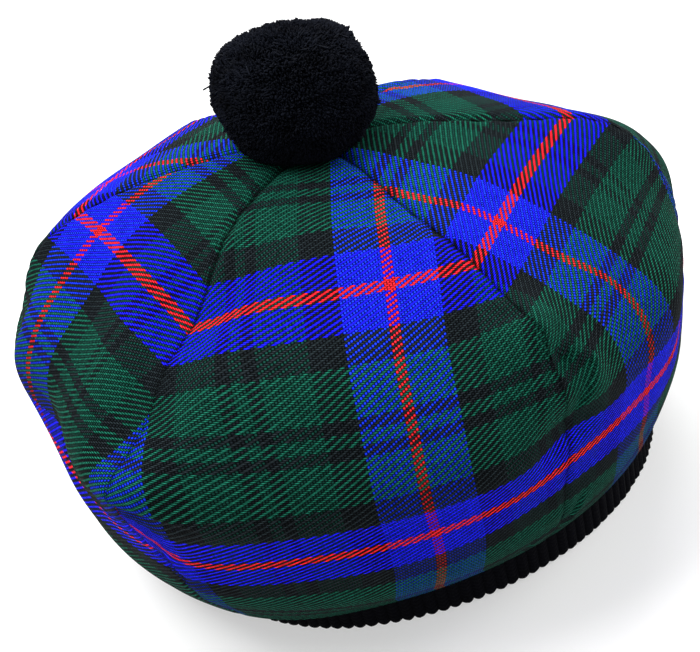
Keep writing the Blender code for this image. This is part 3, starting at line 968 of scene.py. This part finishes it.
def strand_mesh(tips, inward, width):
    """Points and faces of the strands: each a three-sided prism with a short point."""
    feet = tips + inward * STRAND_LENGTH
    side_a = np.cross(inward, np.array(STRAND_ASKEW))
    side_a /= np.linalg.norm(side_a, axis=1, keepdims=True)
    side_b = np.cross(inward, side_a)
    points = np.empty((STRAND_COUNT, 2 * STRAND_SIDES + 1, 3))
    for side in range(STRAND_SIDES):
        turn = 2 * math.pi * side / STRAND_SIDES
        offset = (side_a * math.cos(turn) + side_b * math.sin(turn)) * width[:, None]
        points[:, side] = feet + offset
        points[:, STRAND_SIDES + side] = tips + offset * STRAND_TAPER
    points[:, -1] = tips - inward * (width * STRAND_POINT)[:, None]
    template = []
    for side in range(STRAND_SIDES):
        other = (side + 1) % STRAND_SIDES
        template.append([side, other, STRAND_SIDES + other, STRAND_SIDES + side])
        template.append([STRAND_SIDES + side, STRAND_SIDES + other, 2 * STRAND_SIDES])
    faces = []
    for strand in range(STRAND_COUNT):
        start = strand * (2 * STRAND_SIDES + 1)
        faces.extend([[corner + start for corner in face] for face in template])
    return points.reshape(-1, 3), faces


def pompom(finish):
    """The yarn ball: a dark core thickly set with cut strands that lean together in tufts."""
    rng = np.random.default_rng(5)
    middle = pompom_middle()
    radii = np.array([POMPOM_WIDTH / 2, POMPOM_WIDTH / 2, POMPOM_HEIGHT / 2])
    points, faces = strand_mesh(*strands(rng, middle, radii))
    core, core_faces = core_mesh(middle, radii - CORE_DEPTH)
    faces.extend([[corner + len(points) for corner in face] for face in core_faces])
    places = np.concatenate([points, core])
    places[:, 2] = np.maximum(places[:, 2], crown_top(places[:, :2]) + CLEAR_OF_CLOTH)
    return new_mesh("yarn_pompom", places, faces, finish)


def core_mesh(middle, radii):
    """A plain ball of rows and columns for the pompom's core."""
    points = []
    for row in range(CORE_ROWS + 1):
        polar = math.pi * row / CORE_ROWS
        for column in range(CORE_COLUMNS):
            turn = 2 * math.pi * column / CORE_COLUMNS
            level = [math.sin(polar) * math.cos(turn), math.sin(polar) * math.sin(turn)]
            points.append(middle + np.array([*level, math.cos(polar)]) * radii)
    faces = []
    for row in range(CORE_ROWS):
        for column in range(CORE_COLUMNS):
            other = (column + 1) % CORE_COLUMNS
            low = row * CORE_COLUMNS
            high = low + CORE_COLUMNS
            faces.append([low + column, high + column, high + other, low + other])
    return np.array(points), faces


def stage():
    """A pale floor that curves up behind the hat."""
    outline = [(-FLOOR_FORWARD, 0.0), (FLOOR_BACK, 0.0)]
    for step in range(1, FLOOR_BEND_STEPS + 1):
        turn = math.pi / 2 * step / FLOOR_BEND_STEPS
        outline.append((FLOOR_BACK + FLOOR_BEND * math.sin(turn), FLOOR_BEND * (1 - math.cos(turn))))
    outline.append((FLOOR_BACK + FLOOR_BEND, FLOOR_TOP))
    points = []
    for y, z in outline:
        points.append((-FLOOR_HALF_WIDTH, y, z))
        points.append((FLOOR_HALF_WIDTH, y, z))
    faces = [[2 * n, 2 * n + 1, 2 * n + 3, 2 * n + 2] for n in range(len(outline) - 1)]
    shader = Shader("pale_floor")
    shader.surface.inputs["Base Color"].default_value = (0.5, 0.5, 0.5, 1.0)
    shader.surface.inputs["Roughness"].default_value = 0.9
    shader.surface.inputs["Emission Color"].default_value = (1.0, 1.0, 1.0, 1.0)
    shader.surface.inputs["Emission Strength"].default_value = 0.5
    new_mesh("floor", points, faces, shader.material)


def area_light(lamp):
    """A soft square light that faces the hat."""
    light = bpy.data.lights.new(lamp.name, "AREA")
    light.shape = "SQUARE"
    light.size = lamp.size
    light.energy = lamp.power
    placed = bpy.data.objects.new(lamp.name, light)
    placed.location = lamp.place
    facing = Vector(LAMP_TARGET) - Vector(lamp.place)
    placed.rotation_euler = facing.to_track_quat("-Z", "Y").to_euler()
    bpy.context.scene.collection.objects.link(placed)


def lights():
    """Soft studio light in a pale surround."""
    for lamp in LAMPS:
        area_light(lamp)
    world = bpy.data.worlds.new("surround")
    world.use_nodes = True
    background = world.node_tree.nodes["Background"]
    background.inputs[0].default_value = (1.0, 1.0, 1.0, 1.0)
    background.inputs[1].default_value = SURROUND
    bpy.context.scene.world = world
    bpy.context.scene.view_settings.view_transform = "Standard"


def camera():
    """The camera, at the photograph's angle to the hat."""
    azimuth = math.radians(CAMERA_AZIMUTH)
    elevation = math.radians(CAMERA_ELEVATION)
    roll = math.radians(CAMERA_ROLL)
    flat = Vector((math.sin(azimuth), -math.cos(azimuth), 0.0))
    back = flat * math.cos(elevation) + Vector((0.0, 0.0, math.sin(elevation)))
    right = Vector((math.cos(azimuth), math.sin(azimuth), 0.0))
    up = back.cross(right)
    across = right * math.cos(roll) + up * math.sin(roll)
    upward = up * math.cos(roll) - right * math.sin(roll)
    aim = Vector(PLACE) + Vector(CAMERA_AIM)
    turned = Matrix((across, upward, back)).transposed().to_4x4()
    lens = bpy.data.cameras.new("camera")
    lens.lens = CAMERA_LENS
    lens.sensor_width = CAMERA_SENSOR
    lens.shift_x = CAMERA_SHIFT[0]
    lens.shift_y = CAMERA_SHIFT[1]
    lens.clip_start = 0.01
    lens.clip_end = 50.0
    eye = bpy.data.objects.new("camera", lens)
    eye.matrix_world = Matrix.Translation(aim + back * CAMERA_DISTANCE) @ turned
    bpy.context.scene.collection.objects.link(eye)
    bpy.context.scene.camera = eye


def dress(piece, node):
    """The piece rides on the hat and stands for one of its nodes, which is hidden."""
    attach(piece, "root")
    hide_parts(node)


def main():
    camera()
    tartan = tartan_finish()
    for number in range(1, GORE_COUNT + 1):
        piece, along, arcs = gore(number, tartan)
        dress(piece, "gore_%d" % number)
    dress(rib_band(knit_finish()), "rib_band")
    dress(pompom(yarn_finish()), "pompom")
    stage()
    lights()


main()
